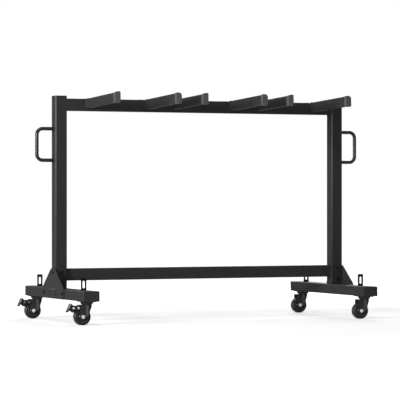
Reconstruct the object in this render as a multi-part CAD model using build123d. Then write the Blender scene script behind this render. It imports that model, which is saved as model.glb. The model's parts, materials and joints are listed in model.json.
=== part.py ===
from build123d import *
import os
from math import atan2, cos, hypot, radians, sin, tan

# A hanging cart on four swivel casters. Millimetres and degrees.
# X runs along the cart, Y across it (front is -Y), Z is up, and the floor is Z = 0.

# Frame tubes
frame_length = 1590.0          # over the outer faces of the two posts
post_top = 1120.0              # floor to the top of the post caps
post_width = 60.0
post_depth = 60.0
post_wall = 2.5
foot_length = 840.0            # over the end caps
foot_width = 80.0
foot_height = 50.0
foot_wall = 3.0
stretcher_height = 60.0
stretcher_depth = 40.0
stretcher_wall = 2.5
stretcher_lift = 38.0          # underside above the top of the feet
rail_height = 60.0
rail_depth = 60.0
rail_wall = 2.5
rail_drop = 12.0               # rail top below the top of the post tubes
tube_corner = 4.0              # outside corner radius of the rectangular tubes
least_corner = 1.0             # smallest inside corner radius of any tube

# Plastic caps in the tube ends
cap_flange = 2.0
cap_edge = 0.8                 # bevel of the flange's outer rim
cap_skirt = 14.0               # depth of the skirt inside the tube
cap_skirt_wall = 2.0
cap_clearance = 0.2

# Spigots inside the posts
spigot_height = 110.0
spigot_wall = 3.0
spigot_clearance = 0.5

# Hanging arms
bay_count = 3
arm_margin = 110.0             # post to the middle of the nearest arm
arm_spacing = 322.0            # between the middles of the two arms of a bay
arm_width = 25.0
arm_height = 50.0
arm_wall = 2.0
arm_corner = 3.0
arm_shoulder = 13.0            # radius of the outer top edge
arm_reach = 400.0              # rail face to the front of the arm cap, measured level
arm_slope = 2.5                # rise towards the tip
arm_lift = 11.5                 # underside above the underside of the rail, at the root
arm_cap_wall = 2.5
arm_cap_sleeve = 16.0
arm_cap_edge = 1.2             # rounding of the front rim

# Push handles
handle_bar = 18.0
handle_reach = 97.0            # post face to the outside of the bar
handle_span = 174.0            # over the outside of the two ends
handle_bend = 30.0             # centre-line radius
handle_height = 878.0          # floor to the middle of the grip

# Gusset plates
gusset_sheet = 4.0
gusset_base = 300.0
gusset_shoulder = 4.0          # straight sides end this far above the foot
gusset_apex = 98.0             # top edge above the foot
gusset_corner = 4.0
gusset_bolt_top = 79.0         # upper bolt above the foot
gusset_bolt_span = 260.0       # between the two lower bolts
gusset_bolt_rise = 27.0        # lower bolts above the underside of the foot
panel_width = 86.0             # raised panel pressed into the plate
panel_margin = 3.0             # panel to the foot's upper and lower edges
panel_rise = 2.0
panel_bevel = 1.8

# Slotted strap tabs on the feet
tab_width = 28.0
tab_height = 60.0
tab_sheet = 4.0
tab_corner = 3.0
tab_inset = 110.0              # foot end to the middle of a tab
slot_width = 12.5
slot_length = 37.0
slot_base = 10.5               # lower end of the slot above the foot

# Bolts, nuts and rivets
bolt_diameter = 8.0
bolt_clearance = 0.25          # round the shank, in every hole
button_diameter = 14.0
button_height = 4.4
button_edge = 1.8
socket_across = 5.0
socket_depth = 2.4
hex_across = 13.0
hex_height = 5.3
truss_diameter = 15.0          # low heads under the caster plates
truss_height = 1.6
truss_edge = 0.9
nut_height = 6.5
thread_end = 1.5               # bolt past the nut
post_bolt_heights = (27.0, 84.0)   # above the foot

# Casters
caster_inset = 69.0            # foot end to the swivel axis
wheel_diameter = 82.0
wheel_width = 32.0
tyre_thickness = 8.5
tyre_shoulder = 4.8
tyre_bead = 3.5                # sloped side of the tyre next to the rim
rim_groove = 4.5               # rim edge inside the side of the tyre
trail = 25.0                   # wheel axle behind the swivel axis
wheel_headroom = 14.0          # tyre to the underside of the fork crown
fork_sheet = 2.5
fork_bevel = 2.0               # pressed edge round the crown
fork_gap = 1.5                 # tyre to the inside of each leg
leg_rear = 43.0                # leg top behind the swivel axis
leg_boss = 15.0                # radius of the leg round the axle
hood_radius = 26.0             # round head of the fork, at the crown
hood_taper = 32.0              # height over which the head narrows
hood_nose = 14.0               # front of the head at its narrow end
ridge_run = 12.0               # sloped flank between the leg's flat and its ridge
ridge_rise = 4.5               # ridge beyond the leg's flat
arch_gap = 3.5                 # tyre to the wheel arch in the head
ear_length = 15.0              # brake ear behind the leg
ear_height = 18.0
ear_drop = 2.0                 # ear below the crown
race_thickness = 2.2
race_radius = 23.0
race_gap = 0.2                 # race to crown
race_bore_gap = 1.0            # race to king pin
cup_depth = 12.4
cup_radius = 27.8
cup_flare = 6.7                # cup wider at the plate than at the race
cup_bow = 0.8                  # hollow of the flare from a straight cone
plate_sheet = 2.2
plate_length = 95.0            # across the cart
plate_width = 72.0
plate_corner = 8.0
plate_bolt_length = 75.0
plate_bolt_width = 45.0
king_pin_diameter = 10.0
king_head_diameter = 18.0
king_head_height = 4.0
running_clearance = 0.05       # shaft fits

# Wheel hub and axle
hub_boss = 12.0
hub_side_gap = 0.5             # hub face to fork leg
hub_dish_inner = 18.5          # floor of the dish, inner and outer radius
hub_dish_outer = 22.5
hub_web = 17.0                 # thickness of the floor
hub_ridge_inner = 26.0         # ridge round the dish, inner and outer radius
hub_ridge_outer = 28.5
hub_ridge_inset = 1.5          # ridge inside the side of the tyre
hub_round = 1.2                # rounding of ridge and dish
axle_sleeve_diameter = 12.0
axle_flange_diameter = 18.0
axle_flange = 1.6

# Brake on the two left casters
pivot_back = 50.0              # pedal pivot behind the axle
pivot_drop = 12.0              # pedal pivot below the crown
rivet_back = 25.0              # fixed rivet behind the axle
rivet_diameter = 6.0
rivet_head_diameter = 11.0
rivet_head_height = 2.6
rivet_edge = 2.0
cheek_sheet = 1.8
cheek_height = 20.5
cheek_margin = 9.5             # cheek past the two rivets
cheek_corner = 8.0
pedal_sheet = 2.5
pedal_width = 33.0
pedal_gap = 0.2                # pedal bosses to cheeks
pedal_ear_sheet = 2.0
pedal_eye = 8.0                # ear radius round the pivot
pedal_bend = 2.5
cam_radius = 8.0
cam_lock_gap = 0.3             # cam to tyre with the pedal pressed down
pedal_travel = 22.0
# Pedal outline from its pivot: toe edge, heel of the tread, kink and lip
pedal_points = ((-9.0, 21.0), (-20.0, -4.0), (-21.0, -10.0), (-28.0, -19.0))
dimple_count = 3
dimple_diameter = 5.0
dimple_depth = 1.0
dimple_shift = 8.5             # row of dimples from the middle of the tread

# Levels and places that follow from the sizes above
wheel_radius = wheel_diameter / 2
rim_radius = wheel_radius - tyre_thickness
rim_half = wheel_width / 2 - rim_groove
crown_bottom = wheel_diameter + wheel_headroom
crown_top = crown_bottom + fork_sheet
hood_level = crown_bottom - hood_taper
race_bottom = crown_top + race_gap
cup_bottom = race_bottom + race_thickness
plate_bottom = cup_bottom + cup_depth
foot_bottom = plate_bottom + plate_sheet
foot_middle = foot_bottom + foot_height / 2
foot_top = foot_bottom + foot_height
tube_top = post_top - cap_flange
post_x = (frame_length - post_width) / 2
foot_x = (frame_length - foot_width) / 2
cross_length = frame_length - 2 * post_width
bay_pitch = (cross_length - 2 * arm_margin - arm_spacing) / max(bay_count - 1, 1)
caster_y = foot_length / 2 - caster_inset
tab_y = foot_length / 2 - tab_inset
rail_bottom = tube_top - rail_drop - rail_height
bolt_radius = bolt_diameter / 2
hole_radius = bolt_radius + bolt_clearance
fork_inside = wheel_width + 2 * fork_gap
fork_outside = fork_inside + 2 * fork_sheet
axle_x = -trail
pivot_x = axle_x - pivot_back
pivot_z = crown_bottom - pivot_drop
rivet_x = axle_x - rivet_back

BOTTOM = (Align.CENTER, Align.CENTER, Align.MIN)
TOP = (Align.CENTER, Align.CENTER, Align.MAX)


def write(name, *solids):
    """Write one node, as one solid or as a group of separate solids."""
    shape = solids[0] if len(solids) == 1 else Compound(children=list(solids))
    export_step(shape, f"parts/{name}.step")


def tube_section(width, depth, wall):
    """Face of a rectangular tube with rounded corners."""
    inside_corner = max(tube_corner - wall, least_corner)
    outside = RectangleRounded(width, depth, tube_corner)
    return outside - RectangleRounded(width - 2 * wall, depth - 2 * wall, inside_corner)


def rod(start, direction, radius, length):
    """Round bar from a point along a direction."""
    return Plane(origin=start, z_dir=direction) * Cylinder(radius, length, align=BOTTOM)


def cross_rod(x, z, radius, half_length):
    """Round bar across the cart, centred on its middle plane."""
    return rod((x, -half_length, z), (0, 1, 0), radius, 2 * half_length)


def hexagon(across):
    return RegularPolygon(across / 2, 6, major_radius=False)


def nut():
    """Hexagon nut standing on Z = 0."""
    blank = extrude(hexagon(hex_across), nut_height)
    return blank - Cylinder(hole_radius, nut_height, align=BOTTOM)


def shank(grip):
    """Bolt shank through the clamped sheets, the nut and the thread end."""
    return Cylinder(bolt_radius, grip + nut_height + thread_end, align=BOTTOM)


def button_bolt(grip):
    """Round-headed socket bolt, head below Z = 0 and shank along +Z."""
    head = Cylinder(button_diameter / 2, button_height, align=TOP)
    head = fillet(head.edges().group_by(Axis.Z)[0], button_edge)
    socket = extrude(hexagon(socket_across), socket_depth)
    return head + shank(grip) - Pos(0, 0, -button_height) * socket


def truss_bolt(grip):
    """Bolt with a low wide head below Z = 0 and its shank along +Z."""
    head = Cylinder(truss_diameter / 2, truss_height, align=TOP)
    head = chamfer(head.edges().group_by(Axis.Z)[0], truss_edge)
    return head + shank(grip)


def bolted(bolt, grip, seat, direction):
    """A bolt seated under its head at a point, with its nut behind the clamped sheets."""
    place = Plane(origin=seat, z_dir=direction)
    return [place * bolt(grip), place * (Pos(0, 0, grip) * nut())]


def tube_cap(width, depth, wall):
    """Moulded plug for a tube end, with its flange on Z = 0 and its skirt below."""
    flange = extrude(RectangleRounded(width, depth, tube_corner), cap_flange)
    flange = chamfer(flange.edges().group_by(Axis.Z)[-1], cap_edge)
    fit = wall + cap_clearance
    corner = max(tube_corner - fit, least_corner)
    skirt = RectangleRounded(width - 2 * fit, depth - 2 * fit, corner)
    hollow = Rectangle(width - 2 * (fit + cap_skirt_wall), depth - 2 * (fit + cap_skirt_wall))
    return flange + extrude(skirt - hollow, -cap_skirt)


# Posts, spigots and their bolts. Side -1 is the left end and +1 the right end.
def post_bolt_holes(side):
    """Bores across a post for its two bolts."""
    levels = [foot_top + height for height in post_bolt_heights]
    return [cross_rod(side * post_x, z, hole_radius, post_depth) for z in levels]


def gusset_top_hole(side):
    """Bore from the outer face of a post for the gusset's upper bolt."""
    start = (side * frame_length / 2, 0, foot_top + gusset_bolt_top)
    return rod(start, (-side, 0, 0), hole_radius, post_width / 2)


def post(side):
    section = tube_section(post_width, post_depth, post_wall)
    tube = extrude(Pos(side * post_x, 0, foot_top) * section, tube_top - foot_top)
    return tube - post_bolt_holes(side) - gusset_top_hole(side)


def spigot(side):
    """Short tube welded on the foot, inside the post."""
    fit = post_wall + spigot_clearance
    section = tube_section(post_width - 2 * fit, post_depth - 2 * fit, spigot_wall)
    tube = extrude(Pos(side * post_x, 0, foot_top) * section, spigot_height)
    return tube - post_bolt_holes(side) - gusset_top_hole(side)


def post_bolts(side):
    """Bolts through post and spigot, heads on the front face."""
    solids = []
    for height in post_bolt_heights:
        seat = (side * post_x, -post_depth / 2, foot_top + height)
        solids += bolted(button_bolt, post_depth, seat, (0, 1, 0))
    return solids


# Feet, gusset plates and strap tabs
def plate_bolt_points(x, y):
    """Places of the four bolts of a caster plate."""
    half_width, half_length = plate_bolt_width / 2, plate_bolt_length / 2
    return [(x + i * half_width, y + j * half_length) for i in (-1, 1) for j in (-1, 1)]


def gusset_low_points():
    """Places (Y, Z) of the two lower gusset bolts."""
    z = foot_bottom + gusset_bolt_rise
    return [(-gusset_bolt_span / 2, z), (gusset_bolt_span / 2, z)]


def foot_beam(side):
    length = foot_length - 2 * cap_flange
    start = Plane(origin=(side * foot_x, -length / 2, foot_middle), x_dir=(1, 0, 0), z_dir=(0, 1, 0))
    beam = extrude(start * tube_section(foot_width, foot_height, foot_wall), length)
    for y in (-caster_y, caster_y):
        for hole_x, hole_y in plate_bolt_points(side * foot_x, y):
            beam -= rod((hole_x, hole_y, foot_bottom), (0, 0, 1), hole_radius, foot_height / 2)
    for y, z in gusset_low_points():
        beam -= rod((side * frame_length / 2, y, z), (-side, 0, 0), hole_radius, foot_width / 2)
    return beam


def foot_caps(side):
    caps = []
    for end in (-1, 1):
        face = (side * foot_x, end * (foot_length / 2 - cap_flange), foot_middle)
        place = Plane(origin=face, x_dir=(1, 0, 0), z_dir=(0, end, 0))
        caps.append(place * tube_cap(foot_width, foot_height, foot_wall))
    return caps


def gusset(side):
    """Outer plate that ties a post to its foot, with a raised panel."""
    half_base, half_top = gusset_base / 2, post_depth / 2
    shoulder, apex = foot_top + gusset_shoulder, foot_top + gusset_apex
    right_edge = [(half_base, foot_bottom), (half_base, shoulder), (half_top, apex)]
    left_edge = [(-y, z) for y, z in reversed(right_edge)]
    outline = make_face(Polyline(*right_edge, *left_edge, close=True))
    outline = fillet(outline.vertices(), gusset_corner)
    panel_height = foot_height - 2 * panel_margin
    panel = Pos(0, foot_middle) * Rectangle(panel_width, panel_height)
    face = Plane(origin=(side * frame_length / 2, 0, 0), x_dir=(0, side, 0), z_dir=(side, 0, 0))
    raised = extrude(face * panel, gusset_sheet + panel_rise)
    raised = chamfer(raised.faces().sort_by(Axis(face.origin, face.z_dir))[-1].edges(), panel_bevel)
    plate = extrude(face * outline, gusset_sheet) + raised
    for y, z in [(0, foot_top + gusset_bolt_top), *gusset_low_points()]:
        plate -= rod((side * frame_length / 2, y, z), (side, 0, 0), hole_radius, gusset_sheet)
    return plate


def gusset_bolts(side):
    """Three bolts through each gusset plate, nuts inside the tubes."""
    seat_x = side * (frame_length / 2 + gusset_sheet)
    top_grip = gusset_sheet + post_wall + spigot_clearance + spigot_wall
    top_seat = (seat_x, 0, foot_top + gusset_bolt_top)
    solids = bolted(button_bolt, top_grip, top_seat, (-side, 0, 0))
    for y, z in gusset_low_points():
        solids += bolted(button_bolt, gusset_sheet + foot_wall, (seat_x, y, z), (-side, 0, 0))
    return solids


def strap_tab(side, end):
    """Upright plate with a long slot, welded on the foot."""
    outline = Pos(0, tab_height / 2) * Rectangle(tab_width, tab_height)
    outline = fillet(outline.vertices().group_by(Axis.Y)[-1], tab_corner)
    outline -= Pos(0, slot_base + slot_length / 2) * SlotOverall(slot_length, slot_width, rotation=90)
    base = Plane(origin=(side * foot_x, end * tab_y, foot_top), x_dir=(1, 0, 0), z_dir=(0, -1, 0))
    return extrude(base * outline, tab_sheet / 2, both=True)


# Stretcher and top rail between the posts
def cross_tube(middle_z, height, depth, wall):
    start = Plane(origin=(-cross_length / 2, 0, middle_z), x_dir=(0, 1, 0), z_dir=(1, 0, 0))
    return extrude(start * tube_section(depth, height, wall), cross_length)


# Push handle: a bent bar welded to the outer face of a post
def handle(side):
    face_x = side * frame_length / 2
    grip_x = face_x + side * (handle_reach - handle_bar / 2)
    half_span = (handle_span - handle_bar) / 2
    low, high = handle_height - half_span, handle_height + half_span
    corners = [(face_x, 0, high), (grip_x, 0, high), (grip_x, 0, low), (face_x, 0, low)]
    path = FilletPolyline(*corners, radius=handle_bend)
    return sweep(Plane(origin=path @ 0, z_dir=path % 0) * Circle(handle_bar / 2), path=path)


# Hanging arms. Hand -1 is the left arm of a bay and +1 the right arm.
arm_axis = (0, -cos(radians(arm_slope)), sin(radians(arm_slope)))
arm_length = arm_reach / cos(radians(arm_slope)) - arm_cap_wall
arm_rise = arm_height / 2 / cos(radians(arm_slope))


def arm_section(hand, grow):
    """Arm profile with a large radius on its outer top edge, grown on every side."""
    outline = Rectangle(arm_width + 2 * grow, arm_height + 2 * grow)
    corners = outline.vertices().sort_by(lambda v: hand * v.X + v.Y)
    outline = fillet(corners[:3], max(arm_corner + grow, least_corner))
    shoulder = outline.vertices().sort_by(lambda v: hand * v.X + v.Y)[-1]
    return fillet(shoulder, max(arm_shoulder + grow, least_corner))


def arm_plane(x):
    """Plane across an arm, at the middle of its root on the front face of the rail."""
    root = (x, -rail_depth / 2, rail_bottom + arm_lift + arm_rise)
    return Plane(origin=root, x_dir=(1, 0, 0), z_dir=arm_axis)


def arm(x, hand):
    """Front arm, cut off flush with the rail."""
    place = arm_plane(x)
    section = place * (arm_section(hand, 0) - arm_section(hand, -arm_wall))
    overlap = arm_height * tan(radians(arm_slope))
    bar = extrude(section, arm_length) + extrude(section, -overlap)
    rail_face = Plane(origin=(0, -rail_depth / 2, 0), z_dir=(0, -1, 0))
    return split(bar, bisect_by=rail_face, keep=Keep.TOP)


def arm_cap(x, hand):
    """Moulded cap that sleeves over the tip of a front arm."""
    start = arm_length - arm_cap_sleeve
    place = arm_plane(x)
    tip = place.offset(start)
    shell = extrude(tip * arm_section(hand, arm_cap_wall), arm_cap_sleeve + arm_cap_wall)
    front = shell.faces().sort_by(Axis(tip.origin, tip.z_dir))[-1]
    shell = fillet(front.edges(), arm_cap_edge)
    return shell - extrude(tip * arm_section(hand, 0), arm_cap_sleeve)


def arm_places():
    """X and hand of every arm, from left to right."""
    places = []
    for bay in range(bay_count):
        middle = (bay - (bay_count - 1) / 2) * bay_pitch
        places += [(middle + hand * arm_spacing / 2, hand) for hand in (-1, 1)]
    return places


# Caster pieces are made round their swivel axis and then moved to their places.
def cup_form(radius, bottom):
    """Solid bowl with a hollow-curved flare, wider at its top."""
    top = bottom + cup_depth
    flare = SagittaArc((radius, bottom), (radius + cup_flare, top), cup_bow)
    rest = Polyline(flare @ 1, (0, top), (0, bottom), flare @ 0)
    return revolve(Plane.XZ * make_face([flare, rest]), Axis.Z)


def caster_plate():
    """Pressed top plate with a flared cup over the swivel race."""
    plate = extrude(RectangleRounded(plate_width, plate_length, plate_corner), plate_sheet)
    plate = Pos(0, 0, plate_bottom) * plate + cup_form(cup_radius, cup_bottom)
    plate -= cup_form(cup_radius - plate_sheet, cup_bottom + plate_sheet)
    plate -= rod((0, 0, cup_bottom), (0, 0, 1), king_pin_diameter / 2 + running_clearance, cup_depth)
    for x, y in plate_bolt_points(0, 0):
        plate -= rod((x, y, plate_bottom), (0, 0, 1), hole_radius, plate_sheet)
    return plate


def caster_bolts():
    """Four low-headed bolts up through plate and foot, nuts inside the foot."""
    solids = []
    for x, y in plate_bolt_points(0, 0):
        solids += bolted(truss_bolt, plate_sheet + foot_wall, (x, y, plate_bottom), (0, 0, 1))
    return solids


def king_pin():
    """Headed rivet that holds the fork crown up against the race."""
    seat = cup_bottom + plate_sheet
    low_head_top = crown_bottom - race_gap
    head = rod((0, 0, seat), (0, 0, 1), king_head_diameter / 2, king_head_height)
    foot = rod((0, 0, low_head_top), (0, 0, -1), king_head_diameter / 2, king_head_height)
    return head + foot + rod((0, 0, low_head_top), (0, 0, 1), king_pin_diameter / 2, seat - low_head_top)


def swivel_race():
    """Thrust ring between cup and crown."""
    ring = Circle(race_radius) - Circle(king_pin_diameter / 2 + race_bore_gap)
    return extrude(Pos(0, 0, race_bottom) * ring, race_thickness)


def fork_plan(level, nose, ridge, inset):
    """Plan of the fork at one level: two flat legs, their outward ridges and a rounded front."""
    leg = fork_outside / 2 - inset
    rear = leg_rear + ear_length + fork_sheet + inset
    near = Polyline((-rear, -leg), (-ridge_run, -leg), (0, inset - ridge))
    front = EllipticalCenterArc((0, 0), nose - inset, ridge - inset, start_angle=-90, arc_size=180)
    far = Polyline((0, ridge - inset), (-ridge_run, leg), (-rear, leg), (-rear, -leg))
    return Pos(0, 0, level) * make_face([near, front, far])


def fork_levels(inset):
    """Plans of the fork from the floor up to its round head, shrunk by an inset."""
    ridge = fork_outside / 2 + ridge_rise
    plans = [fork_plan(level, hood_nose, ridge, inset) for level in (0, hood_level)]
    return [*plans, fork_plan(crown_bottom, hood_radius, hood_radius, inset)]


def leg_outline(braked):
    """Side view of the fork: hull of the axle boss, the crown and the front of the head."""
    boss = Pos(axle_x, wheel_radius) * Circle(leg_boss)
    rear_top = (-leg_rear, crown_top)
    front_top = (hood_radius + fork_sheet, crown_top)
    front_low = (hood_nose + fork_sheet, hood_level)
    outline = make_hull([*boss.edges(), Line(rear_top, front_top), Line(front_top, front_low)])
    if braked:
        ear_end = leg_rear + ear_length
        ear_middle = (axle_x - ear_end) / 2, crown_bottom - ear_drop - ear_height / 2
        outline += Pos(*ear_middle) * Rectangle(ear_end + axle_x, ear_height)
    return outline


def fork(braked):
    """Pressed fork: a shell from a round head to two legs, cut to the outline of the legs."""
    crown = fork_plan(crown_top, hood_radius, hood_radius, fork_bevel)
    body = loft([*fork_levels(0), crown], ruled=True) - loft(fork_levels(fork_sheet), ruled=True)
    body &= extrude(Plane.XZ * leg_outline(braked), 2 * hood_radius, both=True)
    body -= cross_rod(axle_x, wheel_radius, wheel_radius + arch_gap, fork_inside / 2)
    body -= rod((0, 0, crown_bottom), (0, 0, 1), king_pin_diameter / 2 + running_clearance, fork_sheet)
    body -= cross_rod(axle_x, wheel_radius, hole_radius, fork_outside)
    if braked:
        body -= cross_rod(rivet_x, pivot_z, rivet_diameter / 2 + bolt_clearance, fork_outside)
    return body


def axle():
    """Flange bolt, its nut and the sleeve that the hub turns on."""
    half = fork_outside / 2
    flange = Cylinder(axle_flange_diameter / 2, axle_flange, align=TOP)
    head = extrude(hexagon(hex_across), -hex_height)
    bolt = flange + Pos(0, 0, -axle_flange) * head + shank(fork_outside + axle_flange)
    nut_flange = Cylinder(axle_flange_diameter / 2, axle_flange, align=BOTTOM)
    nut_flange -= Cylinder(hole_radius, axle_flange, align=BOTTOM)
    flange_nut = nut_flange + Pos(0, 0, axle_flange) * nut()
    sleeve = extrude(Circle(axle_sleeve_diameter / 2) - Circle(hole_radius), fork_inside)
    far = Plane(origin=(axle_x, half, wheel_radius), z_dir=(0, -1, 0))
    return [far * bolt, far.offset(fork_outside) * flange_nut, far.offset(fork_sheet) * sleeve]


def on_axle(shape):
    """Turn a shape made round Y into its place on the axle."""
    return Pos(axle_x, 0, wheel_radius) * shape


def wheel_hub():
    """Turned hub: boss, dished disc, raised ridge and rim."""
    half_boss = fork_inside / 2 - hub_side_gap
    half_ridge = wheel_width / 2 - hub_ridge_inset
    bore = axle_sleeve_diameter / 2 + running_clearance
    side = [(bore, half_boss), (hub_boss, half_boss),
            (hub_dish_inner, hub_web / 2), (hub_dish_outer, hub_web / 2),
            (hub_ridge_inner, half_ridge), (hub_ridge_outer, half_ridge), (rim_radius, rim_half)]
    far_side = [(r, -y) for r, y in reversed(side)]
    section = make_face(Polyline(*side, *far_side, close=True))
    rounded = section.vertices().filter_by_position(Axis.X, hub_boss, hub_ridge_outer)
    return on_axle(revolve(fillet(rounded, hub_round), Axis.Y))


def tyre():
    """Tyre with rounded shoulders and a groove beside the rim."""
    half = wheel_width / 2
    side = [(rim_radius, rim_half), (rim_radius + tyre_bead, half), (wheel_radius, half)]
    far_side = [(r, -y) for r, y in reversed(side)]
    section = make_face(Polyline(*side, *far_side, close=True))
    section = fillet(section.vertices().group_by(Axis.X)[-1], tyre_shoulder)
    return on_axle(revolve(section, Axis.Y))


# Brake pieces, made round the swivel axis like the rest of the caster
def brake_cheeks():
    """Two side plates on the fork ears that carry the pedal."""
    length = pivot_back - rivet_back + 2 * cheek_margin
    outline = RectangleRounded(length, cheek_height, cheek_corner)
    outline = Pos((pivot_x + rivet_x) / 2, pivot_z) * outline
    bores = Pos(pivot_x, pivot_z) * Circle(rivet_diameter / 2 + bolt_clearance)
    bores += Pos(rivet_x, pivot_z) * Circle(rivet_diameter / 2 + bolt_clearance)
    near = extrude(Plane.XZ.offset(fork_outside / 2) * (outline - bores), cheek_sheet)
    return [near, mirror(near, about=Plane.XZ)]


def brake_rivets():
    """Pedal pivot and fixed rivet, right across the fork."""
    half = fork_outside / 2 + cheek_sheet
    head = Cylinder(rivet_head_diameter / 2, rivet_head_height, align=BOTTOM)
    head = fillet(head.edges().group_by(Axis.Z)[-1], rivet_edge)
    rivets = []
    for x in (pivot_x, rivet_x):
        pin = cross_rod(x, pivot_z, rivet_diameter / 2, half)
        for end in (-1, 1):
            pin += Plane(origin=(x, end * half, pivot_z), z_dir=(0, end, 0)) * head
        rivets.append(pin)
    return rivets


def cam_middle():
    """Middle of the cam with the pedal released, from the pivot."""
    drop = pivot_z - wheel_radius
    reach = hypot(pivot_back, drop) - wheel_radius - cam_lock_gap - cam_radius
    angle = atan2(-drop, pivot_back) - radians(pedal_travel)
    return reach * cos(angle), reach * sin(angle)


def pedal():
    """Rocking brake pedal: dimpled tread with a lip, two ears, pivot bosses and a cam."""
    line = FilletPolyline(*pedal_points, radius=pedal_bend)
    tread = trace(line, line_width=pedal_sheet)
    body = extrude(Plane.XZ * tread, pedal_width / 2, both=True)
    toe, heel = Vector(*pedal_points[0]), Vector(*pedal_points[1])
    outward = (heel - toe).normalized().rotate(Axis.Z, -90)
    for i in range(dimple_count):
        spot = toe + (heel - toe) * ((i + 0.5) / dimple_count) + outward * (pedal_sheet / 2)
        inward = (-outward.X, 0, -outward.Y)
        body -= rod((spot.X, dimple_shift, spot.Y), inward, dimple_diameter / 2, dimple_depth)
    eye, cam = Circle(pedal_eye), Pos(*cam_middle()) * Circle(cam_radius)
    ear_face = make_hull([*eye.edges(), *cam.edges(), Line(pedal_points[0], pedal_points[1])])
    boss_length = (fork_outside - pedal_width) / 2 - pedal_gap
    ear = extrude(Plane.XZ.offset(pedal_width / 2 - pedal_ear_sheet) * ear_face, pedal_ear_sheet)
    ear += extrude(Plane.XZ.offset(pedal_width / 2) * eye, boss_length)
    body += [ear, mirror(ear, about=Plane.XZ)]
    body += extrude(Plane.XZ * cam, pedal_width / 2, both=True)
    body -= cross_rod(0, 0, rivet_diameter / 2 + running_clearance, fork_outside)
    return Pos(pivot_x, 0, pivot_z) * body


# Write every piece
os.makedirs("parts", exist_ok=True)
sides = {"left": -1, "right": 1}
ends = {"front": -1, "rear": 1}

for side_name, side in sides.items():
    write(f"post_{side_name}", post(side))
    write(f"foot_beam_{side_name}", foot_beam(side))
    write(f"gusset_{side_name}", gusset(side))
    write(f"handle_{side_name}", handle(side))
    write(f"strap_tabs_{side_name}", *[strap_tab(side, end) for end in ends.values()])

post_cap = tube_cap(post_width, post_depth, post_wall)
write("post_caps", *[Pos(side * post_x, 0, tube_top) * post_cap for side in sides.values()])
write("foot_end_caps", *[cap for side in sides.values() for cap in foot_caps(side)])
write("post_spigots", *[spigot(side) for side in sides.values()])
frame_bolts = [piece for side in sides.values() for piece in post_bolts(side) + gusset_bolts(side)]
write("frame_bolts", *frame_bolts)
write("stretcher", cross_tube(foot_top + stretcher_lift + stretcher_height / 2,
                              stretcher_height, stretcher_depth, stretcher_wall))
write("top_rail", cross_tube(rail_bottom + rail_height / 2, rail_height, rail_depth, rail_wall))

front_caps = []
for number, (x, hand) in enumerate(arm_places(), start=1):
    front_arm = arm(x, hand)
    write(f"arm_front_{number}", front_arm)
    write(f"arm_rear_{number}", mirror(front_arm, about=Plane.XZ))
    front_caps.append(arm_cap(x, hand))
write("arm_caps_front", *front_caps)
write("arm_caps_rear", *[mirror(cap, about=Plane.XZ) for cap in front_caps])

single_pieces = {"caster_plate": caster_plate(), "wheel_hub": wheel_hub(), "tyre": tyre()}
grouped = {"king_pins": [], "swivel_races": [], "caster_bolts": []}
for side_name, side in sides.items():
    for end_name, end in ends.items():
        place = Pos(side * foot_x, end * caster_y, 0)
        corner = f"{end_name}_{side_name}"
        for piece_name, piece in single_pieces.items():
            write(f"{piece_name}_{corner}", place * piece)
        braked = side_name == "left"
        write(f"fork_{corner}", place * fork(braked))
        write(f"axle_{corner}", *[place * piece for piece in axle()])
        grouped["king_pins"].append(place * king_pin())
        grouped["swivel_races"].append(place * swivel_race())
        grouped["caster_bolts"] += [place * piece for piece in caster_bolts()]
        if braked:
            write(f"brake_cheeks_{corner}", *[place * piece for piece in brake_cheeks()])
            write(f"brake_rivets_{corner}", *[place * piece for piece in brake_rivets()])
            write(f"brake_pedal_{corner}", place * pedal())
for name, pieces in grouped.items():
    write(name, *pieces)
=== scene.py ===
import json
import math

import bmesh
import bpy
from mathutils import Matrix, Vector
from mathutils.bvhtree import BVHTree


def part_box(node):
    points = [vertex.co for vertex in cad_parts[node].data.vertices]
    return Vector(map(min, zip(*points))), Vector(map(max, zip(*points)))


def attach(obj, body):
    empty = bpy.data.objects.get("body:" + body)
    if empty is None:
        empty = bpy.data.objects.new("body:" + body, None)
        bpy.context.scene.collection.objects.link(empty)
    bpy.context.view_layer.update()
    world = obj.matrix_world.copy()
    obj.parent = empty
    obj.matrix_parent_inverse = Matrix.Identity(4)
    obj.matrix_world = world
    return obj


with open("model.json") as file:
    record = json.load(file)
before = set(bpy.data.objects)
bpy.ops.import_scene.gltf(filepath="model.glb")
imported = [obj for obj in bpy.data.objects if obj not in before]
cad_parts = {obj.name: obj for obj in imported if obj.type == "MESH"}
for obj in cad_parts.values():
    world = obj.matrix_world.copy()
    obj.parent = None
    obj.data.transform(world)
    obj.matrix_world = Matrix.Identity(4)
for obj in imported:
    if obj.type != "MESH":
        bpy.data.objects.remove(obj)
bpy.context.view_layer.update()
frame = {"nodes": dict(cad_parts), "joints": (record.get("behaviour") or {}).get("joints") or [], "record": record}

scene = bpy.context.scene
scene.view_settings.view_transform = "Standard"

# Places of the axes in a point, and of the lower and the higher in a pair
X, Y, Z = range(3)
LOW, HIGH = range(2)

# Camera, fitted to the tube edges, feet and wheels in the photograph.
# Metres and degrees, with lens and sensor in millimetres.
CAMERA_PLACE = (-4.805, -10.858, 0.6133)
CAMERA_YAW = -23.86
CAMERA_PITCH = 89.95
CAMERA_LENS = 209.94
CAMERA_SENSOR = 36.0
CAMERA_REACH = 200.0

# Lamps: place and diameter in metres, power in watts
LAMP_TARGET = (0.0, 0.0, 0.6)
LAMPS = {
    "key": ((-7.8, -2.9, 1.9), 2.2, 570.0),
    "top": ((-1.8, -2.0, 4.6), 1.0, 55.0),
    "back": ((2.4, 3.8, 2.4), 2.5, 110.0),
}

# White surroundings: their strength as light and in reflections
AMBIENT = 0.16
MIRRORED = 0.50

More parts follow.
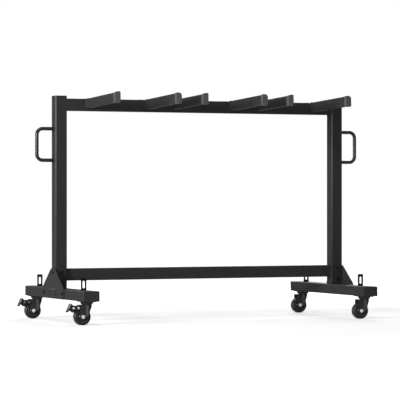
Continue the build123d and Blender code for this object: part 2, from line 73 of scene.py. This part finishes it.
# Floor: its grey, and the glow that lifts it to white in the picture, near the cart and far off
FLOOR_RADIUS = 40.0
FLOOR_SEGMENTS = 96
FLOOR_GREY = 0.80
FLOOR_GLOW = (0.48, 0.90)
FLOOR_GLOW_REACH = (1.5, 6.0)

# Noise: the usual limits of its values, and its octaves
NOISE_LIMITS = (0.3, 0.7)
NOISE_DETAIL = 3.0
MOTTLE_DETAIL = 4.0
SPECKLE_DETAIL = 1.0
GRAIN_DETAIL = 2.0

# Speckle in cells per metre, and its greatest share in the colour
SPECKLE_SCALE = 260.0
SPECKLE_SHARE = 0.5

# Scales of edge rubbing with painted highlight, of the dusty film with painted sheen, and of gloss, as multiples
# of a finish's mottle
WEAR_AND_HIGHLIGHT_SCALE = 9
DUST_AND_SHEEN_SCALE = 4
GLOSS_SCALE = 3

# Lighter edges, partly rubbed and partly a painted highlight: the bevel's samples, cosines of the turn
# at an edge, least lightening, and the lightest that an edge's colour gets
BEVEL_SAMPLES = 4
EDGE_LIMITS = (0.75, 0.99)
LEAST_WEAR_AND_HIGHLIGHT = 0.35
LIGHTEST = 0.9

# Dust, which on the handles is mostly a painted sheen: its colour, its least share, and how far a dusty face looks
# up
DUST_AND_SHEEN_COLOUR = (0.32, 0.31, 0.29)
LEAST_DUST_AND_SHEEN = 0.4
UPWARD_LIMITS = (0.60, 0.95)

# Grey top of the brake pedals, in metres: its ends from the pivot in X and Z,
# the heights over the line between them where the grey starts and is full, and its fade at the heel
TREAD_TOE = (-0.0090, 0.0210)
TREAD_HEEL = (-0.0200, -0.0040)
TREAD_HEIGHTS = (0.00080, 0.00096)
TREAD_FADE = 0.001

# Middle of a piece's box and the directions across Y, in shares of the box
BOX_MIDDLE = (0.5, 0.5, 0.5)
ACROSS_Y = (1.0, 0.0, 1.0)

# Edge of the bolt end in the axle nuts, as a share of the flange's diameter
BOLT_LIMITS = (0.194, 0.200)

# Rim of the gusset panel, in metres: half width, distance from the foot's edges,
# and width of its painted highlight and painted shade lines
PANEL_HALF = 0.043
PANEL_MARGIN = 0.003
PANEL_LINE = 0.0020

# Corners with a painted highlight: product of two parts of the normal,
# and the heights where a post's painted highlight starts and is full
CORNER_FACING = (0.10, 0.35)
CORNER_HEIGHTS = (0.30, 1.00)

# How far faces look along X: cut edges of the gussets with painted shade, slopes of a fork with painted highlight,
# and its front with painted shade
CUT_EDGE_FACING = (-0.5, 0.5)
RIDGE_FACING = (-0.45, -0.15)
NOSE_FACING = (0.05, 0.30)

# Sides of the round sections of beads and rings
SECTION_SIDES = 8

# Weld beads, in metres: radii, how far the rail's are sunk in, steps along them,
# how far from a piece's end they are read, and how near points are one
ARM_BEAD = 0.0021
TUBE_BEAD = 0.0024
HANDLE_BEAD = 0.0020
TAB_BEAD = 0.0022
RAIL_SINK = 0.0018
BEAD_STEP = 0.0010
SLICE_OFFSET = 0.0006
MERGE_DISTANCE = 1e-5

# Ripple of the beads, and a slower wander that differs from bead to bead, as shares of the radius;
# their pitches are in metres, and the wander's shift is in radians per metre along X
RIPPLE = 0.13
RIPPLE_PITCH = 0.0042
WANDER = 0.07
WANDER_PITCH = 7.3 * RIPPLE_PITCH
WANDER_SHIFT = 40.0

# Moulded rings on both sides of hubs and tyres, in metres: their radii, and that of their section
WHEEL_RINGS = {"wheel_hub": (0.0150, 0.0205, 0.0300), "tyre": (0.0345,)}
RING_SIZE = 0.0010
RING_STEPS = 80


# Shader helpers
def node(tree, kind, values=None, **properties):
    """New shader node with its properties and unlinked sockets set."""
    made = tree.nodes.new("ShaderNode" + kind)
    for key, value in properties.items():
        setattr(made, key, value)
    for socket, value in (values or {}).items():
        made.inputs[socket].default_value = value
    return made


def feed(tree, socket, value):
    """Link a socket to another one, or set it to a constant."""
    if isinstance(value, bpy.types.NodeSocket):
        tree.links.new(value, socket)
    else:
        socket.default_value = value


def arithmetic(tree, kind, operation, values):
    """New math node with its inputs fed in order."""
    made = node(tree, kind, operation=operation)
    for socket, value in zip(made.inputs, values):
        feed(tree, socket, value)
    return made


def number_math(tree, operation, *values):
    """Number from numbers."""
    return arithmetic(tree, "Math", operation, values).outputs["Value"]


def vector_math(tree, operation, *values):
    """Vector from vectors."""
    return arithmetic(tree, "VectorMath", operation, values).outputs["Vector"]


def vector_number(tree, operation, *values):
    """Number from vectors."""
    return arithmetic(tree, "VectorMath", operation, values).outputs["Value"]


def times(tree, first, second):
    """Product of two numbers."""
    return number_math(tree, "MULTIPLY", first, second)


def magnitude(tree, value):
    """Number without its sign."""
    return number_math(tree, "ABSOLUTE", value)


def within(tree, value, low, high):
    """1 where a value lies between two limits."""
    return number_math(tree, "COMPARE", value, (low + high) / 2, (high - low) / 2)


def component(tree, vector, axis):
    """One component of a vector."""
    parts = node(tree, "SeparateXYZ")
    tree.links.new(vector, parts.inputs["Vector"])
    return parts.outputs[axis]


def along(tree, point, origin, direction):
    """Distance of a point past an origin, measured along a direction."""
    shifted = vector_math(tree, "SUBTRACT", point, origin)
    return vector_number(tree, "DOT_PRODUCT", shifted, direction)


def object_place(tree):
    """Place on the piece, in metres."""
    return node(tree, "TexCoord").outputs["Object"]


def object_height(tree):
    """Height of a place on the piece."""
    return component(tree, object_place(tree), "Z")


def off_middle(tree, axis):
    """Distance from the cart's middle plane across an axis."""
    return magnitude(tree, component(tree, object_place(tree), axis))


def facing(tree, axis):
    """How far a face looks along one of its piece's own axes."""
    return component(tree, node(tree, "TexCoord").outputs["Normal"], axis)


def world_normal(tree):
    """Direction in which a face looks."""
    return node(tree, "NewGeometry").outputs["Normal"]


def radius_share(tree):
    """Distance from the middle of the piece's box across Y, as a share of its diameter."""
    shifted = vector_math(tree, "SUBTRACT", node(tree, "TexCoord").outputs["Generated"], BOX_MIDDLE)
    return vector_number(tree, "LENGTH", vector_math(tree, "MULTIPLY", shifted, ACROSS_Y))


def noise(tree, scale, detail=NOISE_DETAIL):
    """Noise value over the piece, with a scale in cells per metre."""
    texture = node(tree, "TexNoise", {"Scale": scale, "Detail": detail})
    tree.links.new(object_place(tree), texture.inputs["Vector"])
    return texture.outputs["Fac"]


def spread(tree, value, low, high, limits=NOISE_LIMITS):
    """Map a value between two limits onto a range, clamped at both ends."""
    start, end = limits
    ends = {"From Min": start, "From Max": end, "To Min": low, "To Max": high}
    mapped = node(tree, "MapRange", ends)
    tree.links.new(value, mapped.inputs["Value"])
    return mapped.outputs["Result"]


def mixed(tree, factor, first, second):
    """Blend from one colour to another; each is a colour or a socket."""
    mix = node(tree, "Mix", data_type="RGBA")
    sockets = [s for s in mix.inputs if s.type == "RGBA"]
    for socket, colour in zip(sockets, (first, second)):
        feed(tree, socket, (*colour, 1.0) if isinstance(colour, tuple) else colour)
    tree.links.new(factor, mix.inputs[0])
    return next(s for s in mix.outputs if s.type == "RGBA")


def bumped(tree, height, depth, normal):
    """Normal that follows a height over another normal."""
    bump = node(tree, "Bump", {"Strength": 1.0, "Distance": depth})
    tree.links.new(height, bump.inputs["Height"])
    tree.links.new(normal, bump.inputs["Normal"])
    return bump.outputs["Normal"]


# Masks, which are 1 on some places of a piece and 0 on the rest
def edge_mask(tree, bevel):
    """The edges of a piece."""
    cosine = vector_number(tree, "DOT_PRODUCT", bevel.outputs["Normal"], world_normal(tree))
    return spread(tree, cosine, 1.0, 0.0, EDGE_LIMITS)


def upward_mask(tree):
    """Faces that look up, which get dusty, and on the handles a painted sheen."""
    return spread(tree, component(tree, world_normal(tree), "Z"), 0.0, 1.0, UPWARD_LIMITS)


def tread_mask(tree):
    """The grey top of a pedal; the left pedals differ only in Y, so one mask serves both."""
    pivot = Vector(next(j["pos_m"] for j in frame["joints"] if j["name"] == "brake_front_left"))
    toe = pivot + Vector((TREAD_TOE[0], 0.0, TREAD_TOE[1]))
    heel = pivot + Vector((TREAD_HEEL[0], 0.0, TREAD_HEEL[1]))
    down = (heel - toe).normalized()
    outward = Vector((0.0, 1.0, 0.0)).cross(down)
    length = (heel - toe).length
    place = object_place(tree)
    top = spread(tree, along(tree, place, toe, outward), 0.0, 1.0, TREAD_HEIGHTS)
    travel = along(tree, place, toe, down)
    return times(tree, top, spread(tree, travel, 1.0, 0.0, (length - TREAD_FADE, length)))


def panel_heights():
    """Lower and upper edge of the gusset panel."""
    low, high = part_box("foot_beam_left")
    return low[Z] + PANEL_MARGIN, high[Z] - PANEL_MARGIN


def panel_top_highlight_mask(tree):
    """The upper rim of the gusset panel, with a painted highlight where light from above falls."""
    top = panel_heights()[HIGH]
    upper = within(tree, object_height(tree), top - PANEL_LINE, top)
    return times(tree, within(tree, off_middle(tree, "Y"), 0.0, PANEL_HALF), upper)


def panel_side_shade_mask(tree):
    """Painted shade in the corners along the sides of the gusset panel."""
    inner, outer = PANEL_HALF - 2 * PANEL_LINE, PANEL_HALF + PANEL_LINE
    beside = within(tree, off_middle(tree, "Y"), inner, outer)
    return times(tree, beside, within(tree, object_height(tree), *panel_heights()))


def post_bolt_mask(tree):
    """The bolts through the posts, coated with them; the gusset bolts lie farther out."""
    return within(tree, off_middle(tree, "X"), 0.0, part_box("post_right")[HIGH][X])


def corner_mask(tree, first, second):
    """Round corners, where a face looks along two axes at once."""
    return spread(tree, times(tree, first, second), 0.0, 1.0, CORNER_FACING)


def post_corner_highlight_mask(tree):
    """The upright corners of a post, with a painted highlight that grows towards its top."""
    sideways = [magnitude(tree, facing(tree, axis)) for axis in ("X", "Y")]
    height = spread(tree, object_height(tree), 0.0, 1.0, CORNER_HEIGHTS)
    return times(tree, corner_mask(tree, *sideways), height)


def foot_corner_highlight_mask(tree):
    """A painted highlight along the upper corners of a foot."""
    return corner_mask(tree, magnitude(tree, facing(tree, "X")), facing(tree, "Z"))


def cut_edge_shade_mask(tree):
    """The cut edges round a gusset plate, which look across its faces, with painted shade."""
    return within(tree, facing(tree, "X"), *CUT_EDGE_FACING)


def ridge_highlight_mask(tree):
    """The slopes up to the ridges of a fork, with a painted highlight."""
    return within(tree, facing(tree, "X"), *RIDGE_FACING)


def nose_shade_mask(tree):
    """The rounded front of a fork, kept dark by painted shade."""
    return spread(tree, facing(tree, "X"), 0.0, 1.0, NOSE_FACING)


def bolt_mask(tree):
    """The bolt end in the middle of an axle nut."""
    return spread(tree, radius_share(tree), 1.0, 0.0, BOLT_LIMITS)


# One surface recipe, used by every finish with its own numbers
def surface(name, colour, vary=0.12, rough=(0.50, 0.60), specular=0.10, metallic=0.0, mottle=7.0,
            speckle=0.05, grain=1100.0, grain_depth=0.00005, edge=2.0, edge_size=0.0010, dust_and_sheen=0.0,
            rings=0.0, ring_depth=0.0, patches=()):
    """Finish with mottled colour and gloss, a fine grain, edges lighter from rubbing and a painted highlight, and
    a dusty film that on the handles is mostly a painted sheen.

    Rings are fine turning marks. Each patch is a mask with the colour and metal share of
    another finish on the same piece, or of a painted highlight or painted shade.
    """
    material = bpy.data.materials.new(name)
    material.use_nodes = True
    tree = material.node_tree
    shader = tree.nodes["Principled BSDF"]
    shader.inputs["Metallic"].default_value = metallic
    shader.inputs["Specular IOR Level"].default_value = specular

    light = tuple(c * (1 + vary) for c in colour)
    mottled = spread(tree, noise(tree, mottle, MOTTLE_DETAIL), 0.0, 1.0)
    base = mixed(tree, mottled, colour, light)
    dark = tuple(c * (1 - speckle / SPECKLE_SHARE) for c in colour)
    speckled = spread(tree, noise(tree, SPECKLE_SCALE, SPECKLE_DETAIL), 0.0, SPECKLE_SHARE)
    base = mixed(tree, speckled, base, dark)
    bevel = node(tree, "Bevel", {"Radius": edge_size}, samples=BEVEL_SAMPLES)
    # Lighter edges: partly rubbed, partly a painted highlight.
    worn_and_highlit = tuple(min(c * edge, LIGHTEST) for c in colour)
    wear_and_highlight = spread(tree, noise(tree, mottle * WEAR_AND_HIGHLIGHT_SCALE), LEAST_WEAR_AND_HIGHLIGHT, 1.0)
    base = mixed(tree, times(tree, edge_mask(tree, bevel), wear_and_highlight), base, worn_and_highlit)
    # Dusty film on faces that look up; on the handles its larger share is a painted sheen of light from above.
    if dust_and_sheen:
        dust_and_sheen_share = spread(tree, noise(tree, mottle * DUST_AND_SHEEN_SCALE), LEAST_DUST_AND_SHEEN * dust_and_sheen, dust_and_sheen)
        base = mixed(tree, times(tree, upward_mask(tree), dust_and_sheen_share), base, DUST_AND_SHEEN_COLOUR)
    for mask_of, patch_colour, patch_metallic in patches:
        mask = mask_of(tree)
        base = mixed(tree, mask, base, patch_colour)
        if patch_metallic != metallic:
            metal = spread(tree, mask, metallic, patch_metallic, (0.0, 1.0))
            tree.links.new(metal, shader.inputs["Metallic"])
    tree.links.new(base, shader.inputs["Base Color"])
    gloss = spread(tree, noise(tree, mottle * GLOSS_SCALE), *rough)
    tree.links.new(gloss, shader.inputs["Roughness"])

    grained = noise(tree, grain, GRAIN_DETAIL)
    normal = bumped(tree, grained, grain_depth, bevel.outputs["Normal"])
    if rings:
        wave = number_math(tree, "SINE", times(tree, radius_share(tree), rings * math.tau))
        normal = bumped(tree, wave, ring_depth, normal)
    tree.links.new(normal, shader.inputs["Normal"])
    return material


def grey(level):
    """Neutral colour."""
    return (level, level, level)


# Finishes of the slots
FINISHES = {
    "powder_coat": dict(
        colour=(0.036, 0.036, 0.0363), specular=0.07, rough=(0.52, 0.64), speckle=0.12,
        edge=2.6, edge_size=0.0016, dust_and_sheen=0.012),
    # The handles get a large share of the dusty film, which mostly paints a sheen on the tops of their bars.
    "gloss_coat": dict(
        colour=(0.011, 0.011, 0.0114), specular=0.55, rough=(0.26, 0.30), grain_depth=0.00001,
        dust_and_sheen=0.07),
    "cap_grey": dict(
        colour=(0.100, 0.100, 0.103), specular=0.15, rough=(0.45, 0.58), speckle=0.10,
        grain=1500.0, edge=1.5),
    "cap_black": dict(
        colour=(0.038, 0.038, 0.0375), speckle=0.12, grain=1500.0, dust_and_sheen=0.012),
    "caster_black": dict(
        colour=(0.026, 0.026, 0.0252), specular=0.20, rough=(0.34, 0.46), mottle=30.0,
        grain=900.0, edge=2.2),
    "cheek_black": dict(
        colour=(0.014, 0.014, 0.016), specular=0.25, rough=(0.28, 0.40), mottle=40.0,
        grain=900.0, grain_depth=0.00003, edge=2.2),
    "pedal_grey": dict(
        colour=grey(0.014), specular=0.25, rough=(0.34, 0.48), mottle=60.0, grain=700.0, edge=1.8,
        patches=[(tread_mask, (0.19, 0.19, 0.186), 0.25)]),
    "zinc": dict(
        colour=(0.80, 0.84, 0.95), metallic=0.35, rough=(0.24, 0.36), mottle=120.0, grain=1200.0,
        grain_depth=0.00002, edge=1.1, edge_size=0.0005),
    "black_oxide": dict(
        colour=(0.0060, 0.0060, 0.0062), specular=0.03, rough=(0.45, 0.60), mottle=80.0,
        grain_depth=0.00003, edge=1.6, edge_size=0.0005),
    "inner_steel": dict(
        colour=(0.050, 0.049, 0.047), metallic=0.3, mottle=20.0, grain=600.0, edge=2.6),
    "race_nylon": dict(
        colour=grey(0.020), specular=0.20, rough=(0.40, 0.50), mottle=60.0, edge=1.2),
    "hub_black": dict(
        colour=(0.034, 0.034, 0.0328), specular=0.60, rough=(0.26, 0.34), mottle=50.0,
        grain=1300.0, grain_depth=0.00002, edge=1.8, rings=12.0, ring_depth=0.00015),
    "tyre_black": dict(
        colour=(0.018, 0.018, 0.0176), specular=0.45, rough=(0.30, 0.40), mottle=40.0,
        grain=1600.0, grain_depth=0.00003, edge=1.3, rings=10.0, ring_depth=0.00015),
}
MATERIALS = {slot: surface(slot, **numbers) for slot, numbers in FINISHES.items()}


def variant(name, slot, *patches, **changes):
    """A slot's finish with patches or changed numbers."""
    return surface(name, **{**FINISHES[slot], **changes, "patches": patches})


# Pieces whose finish differs a little from the rest of their slot, by the start of their names
VARIANTS = {
    "axle": variant("zinc_axle", "zinc", (bolt_mask, (0.66, 0.69, 0.76), 0.5)),
    # The rear rivets are a darker, rougher copy of the zinc; the darker colour is painted shade.
    "brake_rivets_rear": variant(
        "zinc_painted_shade", "zinc", colour=(0.20, 0.20, 0.21), rough=(0.40, 0.52), grain=1100.0,
        grain_depth=0.00005),
    # Painted highlight along the upper corners of the feet.
    "foot_beam": variant("powder_coat_feet", "powder_coat", (foot_corner_highlight_mask, grey(0.075), 0.0)),
    # Painted highlight on the fork's ridge slopes and painted shade on its rounded front.
    "fork": variant(
        "caster_black_forks", "caster_black", (ridge_highlight_mask, (0.065, 0.065, 0.0635), 0.0),
        (nose_shade_mask, (0.011, 0.011, 0.0107), 0.0), colour=(0.030, 0.030, 0.0292)),
    "frame_bolts": variant("black_oxide_bolts", "black_oxide", (post_bolt_mask, grey(0.025), 0.0)),
    # Painted highlight on the panel's upper rim, painted shade beside the panel and on the plate's cut edges.
    "gusset": variant(
        "powder_coat_gussets", "powder_coat", (panel_top_highlight_mask, grey(0.140), 0.0),
        (panel_side_shade_mask, grey(0.016), 0.0), (cut_edge_shade_mask, grey(0.008), 0.0)),
    # Painted highlight along the post corners, stronger towards the top.
    ("post_left", "post_right"): variant(
        "powder_coat_posts", "powder_coat", (post_corner_highlight_mask, grey(0.17), 0.5)),
    "strap_tabs": surface("black_oxide_tabs", grey(0.008), specular=0.05),
}

for subpart in frame["record"]["subparts"]:
    finish = MATERIALS[subpart["material_slot"]]
    for starts, other_finish in VARIANTS.items():
        if subpart["node"].startswith(starts):
            finish = other_finish
    slots = frame["nodes"][subpart["node"]].data.materials
    slots.clear()
    slots.append(finish)


# Shapes that beads and rings share
def section(mesh, centre, across, up, size):
    """New points round a circle in the plane of two directions."""
    turns = [math.tau * k / SECTION_SIDES for k in range(SECTION_SIDES)]
    places = [centre + (across * math.cos(t) + up * math.sin(t)) * size for t in turns]
    return [mesh.verts.new(place) for place in places]


def skin(mesh, sections):
    """Smooth faces between neighbouring sections, closed both ways."""
    for near, far in zip(sections, sections[1:] + sections[:1]):
        for k, corner in enumerate(near):
            after = (k + 1) % len(near)
            face = mesh.faces.new((corner, near[after], far[after], far[k]))
            face.smooth = True


def add_piece(name, mesh, body, slot):
    """New piece from a mesh, which rides on a body and takes a slot's finish."""
    bmesh.ops.recalc_face_normals(mesh, faces=mesh.faces)
    data = bpy.data.meshes.new(name)
    mesh.to_mesh(data)
    mesh.free()
    data.materials.append(MATERIALS[slot])
    piece = bpy.data.objects.new(name, data)
    scene.collection.objects.link(piece)
    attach(piece, body)


# Weld beads along the outlines where the tubes, bars and tabs meet
def ordered_loop(edges):
    """Points round one closed outline; its edges are taken out of the set."""
    first = min(edges, key=lambda edge: sorted(tuple(end.co) for end in edge.verts))
    edges.discard(first)
    start, corner = sorted(first.verts, key=lambda end: tuple(end.co))
    points = [start.co.copy()]
    while corner is not start:
        points.append(corner.co.copy())
        step = next(edge for edge in corner.link_edges if edge in edges)
        edges.discard(step)
        corner = step.other_vert(corner)
    return points


def loop_length(points):
    """Length of a closed outline."""
    return sum((a - b).length for a, b in zip(points, points[1:] + points[:1]))


def outlines(node_name, point, normal, count):
    """The longest closed outlines where a plane cuts a CAD piece."""
    mesh = bmesh.new()
    mesh.from_mesh(frame["nodes"][node_name].data)
    bmesh.ops.remove_doubles(mesh, verts=mesh.verts, dist=MERGE_DISTANCE)
    geometry = mesh.verts[:] + mesh.edges[:] + mesh.faces[:]
    cut = bmesh.ops.bisect_plane(mesh, geom=geometry, plane_co=point, plane_no=normal,
                                 clear_outer=True, clear_inner=True)
    edges = {e for e in cut["geom_cut"] if isinstance(e, bmesh.types.BMEdge)}
    loops = []
    while edges:
        loops.append(ordered_loop(edges))
    mesh.free()
    return sorted(loops, key=loop_length, reverse=True)[:count]


def resampled(points):
    """Points round a closed outline at even steps."""
    length = loop_length(points)
    count = round(length / BEAD_STEP)
    step = length / count
    even, due, gone = [], 0.0, 0.0
    for a, b in zip(points, points[1:] + points[:1]):
        span = (b - a).length
        while due <= gone + span and len(even) < count and span > 0:
            even.append(a.lerp(b, (due - gone) / span))
            due += step
        gone += span
    return even


def add_bead(mesh, outline, normal, radius, sink):
    """Rippled bead round an outline; sink moves its middle into the joint."""
    points = resampled(outline)
    middle = sum(points, Vector()) / len(points)
    sections = []
    for i, point in enumerate(points):
        heading = (points[(i + 1) % len(points)] - points[i - 1]).normalized()
        outward = heading.cross(normal).normalized()
        if outward.dot(point - middle) < 0:
            outward.negate()
        turn = math.tau * i * BEAD_STEP
        ripple = RIPPLE * math.cos(turn / RIPPLE_PITCH)
        wander = WANDER * math.sin(turn / WANDER_PITCH + point.x * WANDER_SHIFT)
        size = radius * (1 + ripple + wander)
        sections.append(section(mesh, point - outward * sink, outward, normal, size))
    skin(mesh, sections)


def weld(name, joints, radius, sink=0.0):
    """One piece holding the beads of several like joints on the frame."""
    mesh = bmesh.new()
    for node_name, point, normal, count in joints:
        for outline in outlines(node_name, point, normal, count):
            add_bead(mesh, outline, normal, radius, sink)
    add_piece(name, mesh, "frame", "powder_coat")


def end_joints(node_name, axis, count=1):
    """Joints at the low and the high end of a piece along an axis, with their outlines' count."""
    normal = Vector((0.0, 0.0, 0.0))
    normal[axis] = 1.0
    low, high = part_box(node_name)
    ends = (low[axis] + SLICE_OFFSET, high[axis] - SLICE_OFFSET)
    return [(node_name, normal * end, normal, count) for end in ends]


front_arms = sorted(name for name in frame["nodes"] if name.startswith("arm_front"))
rear_arms = sorted(name for name in frame["nodes"] if name.startswith("arm_rear"))
arm_joints = [end_joints(name, Y)[HIGH] for name in front_arms]
arm_joints += [end_joints(name, Y)[LOW] for name in rear_arms]
weld("weld_arms", arm_joints, ARM_BEAD)
weld("weld_rail", end_joints("top_rail", X), TUBE_BEAD, sink=RAIL_SINK)
weld("weld_stretcher", end_joints("stretcher", X), TUBE_BEAD)
handle_joints = [end_joints("handle_left", X, 2)[HIGH], end_joints("handle_right", X, 2)[LOW]]
weld("weld_handles", handle_joints, HANDLE_BEAD)
tab_joints = [end_joints(name, Z, 2)[LOW] for name in ("strap_tabs_left", "strap_tabs_right")]
weld("weld_tabs", tab_joints, TAB_BEAD)


# Moulded rings, half sunk in the sides of hubs and tyres
def add_ring(mesh, centre, radius):
    """Ring with a round section about an axle along Y."""
    sections = []
    for i in range(RING_STEPS):
        turn = math.tau * i / RING_STEPS
        outward = Vector((math.cos(turn), 0.0, math.sin(turn)))
        middle = centre + outward * radius
        sections.append(section(mesh, middle, outward, Vector((0.0, 1.0, 0.0)), RING_SIZE))
    skin(mesh, sections)


def wheel_rings(kind, node_name, slot):
    """One piece holding the rings on both sides of a hub or tyre."""
    data = frame["nodes"][node_name].data
    faces = [tuple(face.vertices) for face in data.polygons]
    solid = BVHTree.FromPolygons([vertex.co for vertex in data.vertices], faces)
    low, high = (Vector(place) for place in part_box(node_name))
    middle = (low + high) / 2
    mesh = bmesh.new()
    for side in (-1, 1):
        for radius in WHEEL_RINGS[kind]:
            outside = middle + Vector((radius, side * (high.y - low.y), 0.0))
            reached = solid.ray_cast(outside, Vector((0.0, -side, 0.0)))[0]
            add_ring(mesh, Vector((middle.x, reached.y, middle.z)), radius)
    corner = node_name.removeprefix(kind + "_")
    add_piece(f"{kind}_rings_{corner}", mesh, f"wheel_{corner}", slot)


for subpart in frame["record"]["subparts"]:
    for kind in WHEEL_RINGS:
        if subpart["node"].startswith(kind):
            wheel_rings(kind, subpart["node"], subpart["material_slot"])


# Studio: camera, lamps, white surroundings and a pale floor
def make_camera():
    """Camera at the photograph's viewing angle."""
    data = bpy.data.cameras.new("camera")
    data.lens = CAMERA_LENS
    data.sensor_width = CAMERA_SENSOR
    data.clip_end = CAMERA_REACH
    camera = bpy.data.objects.new("camera", data)
    camera.location = CAMERA_PLACE
    camera.rotation_euler = (math.radians(CAMERA_PITCH), 0.0, math.radians(CAMERA_YAW))
    scene.collection.objects.link(camera)
    scene.camera = camera


def make_lamp(name, place, size, power):
    """Round soft lamp that looks at the cart."""
    data = bpy.data.lights.new(name, "AREA")
    data.shape = "DISK"
    data.size = size
    data.energy = power
    lamp = bpy.data.objects.new(name, data)
    lamp.location = place
    aim = Vector(LAMP_TARGET) - Vector(place)
    lamp.rotation_euler = aim.to_track_quat("-Z", "Y").to_euler()
    lamp.visible_camera = False
    scene.collection.objects.link(lamp)


def ray_kind(tree, kind):
    """1 for rays of a kind."""
    return node(tree, "LightPath").outputs[kind]


def make_world():
    """White surroundings, dimmer as light than as seen."""
    world = bpy.data.worlds.new("studio")
    world.use_nodes = True
    scene.world = world
    tree = world.node_tree
    background = tree.nodes["Background"]
    background.inputs["Color"].default_value = (1.0, 1.0, 1.0, 1.0)
    dimmed = spread(tree, ray_kind(tree, "Is Glossy Ray"), AMBIENT, MIRRORED, (0.0, 1.0))
    strength = number_math(tree, "MAXIMUM", ray_kind(tree, "Is Camera Ray"), dimmed)
    tree.links.new(strength, background.inputs["Strength"])


def floor_material():
    """Pale grey with a glow that grows with the distance from the cart and only the camera sees."""
    material = bpy.data.materials.new("floor")
    material.use_nodes = True
    tree = material.node_tree
    tree.nodes.remove(tree.nodes["Principled BSDF"])
    diffuse = node(tree, "BsdfDiffuse", {"Color": (*grey(FLOOR_GREY), 1.0)})
    distance = vector_number(tree, "LENGTH", object_place(tree))
    glow = spread(tree, distance, *FLOOR_GLOW, FLOOR_GLOW_REACH)
    emission = node(tree, "Emission")
    seen = times(tree, glow, ray_kind(tree, "Is Camera Ray"))
    tree.links.new(seen, emission.inputs["Strength"])
    both = node(tree, "AddShader")
    tree.links.new(diffuse.outputs["BSDF"], both.inputs[0])
    tree.links.new(emission.outputs["Emission"], both.inputs[1])
    tree.links.new(both.outputs["Shader"], tree.nodes["Material Output"].inputs["Surface"])
    return material


def make_floor():
    """Wide round floor under the wheels."""
    mesh = bmesh.new()
    bmesh.ops.create_circle(mesh, cap_ends=True, segments=FLOOR_SEGMENTS, radius=FLOOR_RADIUS)
    data = bpy.data.meshes.new("floor")
    mesh.to_mesh(data)
    mesh.free()
    data.materials.append(floor_material())
    floor = bpy.data.objects.new("floor", data)
    scene.collection.objects.link(floor)


make_camera()
for lamp_name, (place, size, power) in LAMPS.items():
    make_lamp(lamp_name, place, size, power)
make_world()
make_floor()
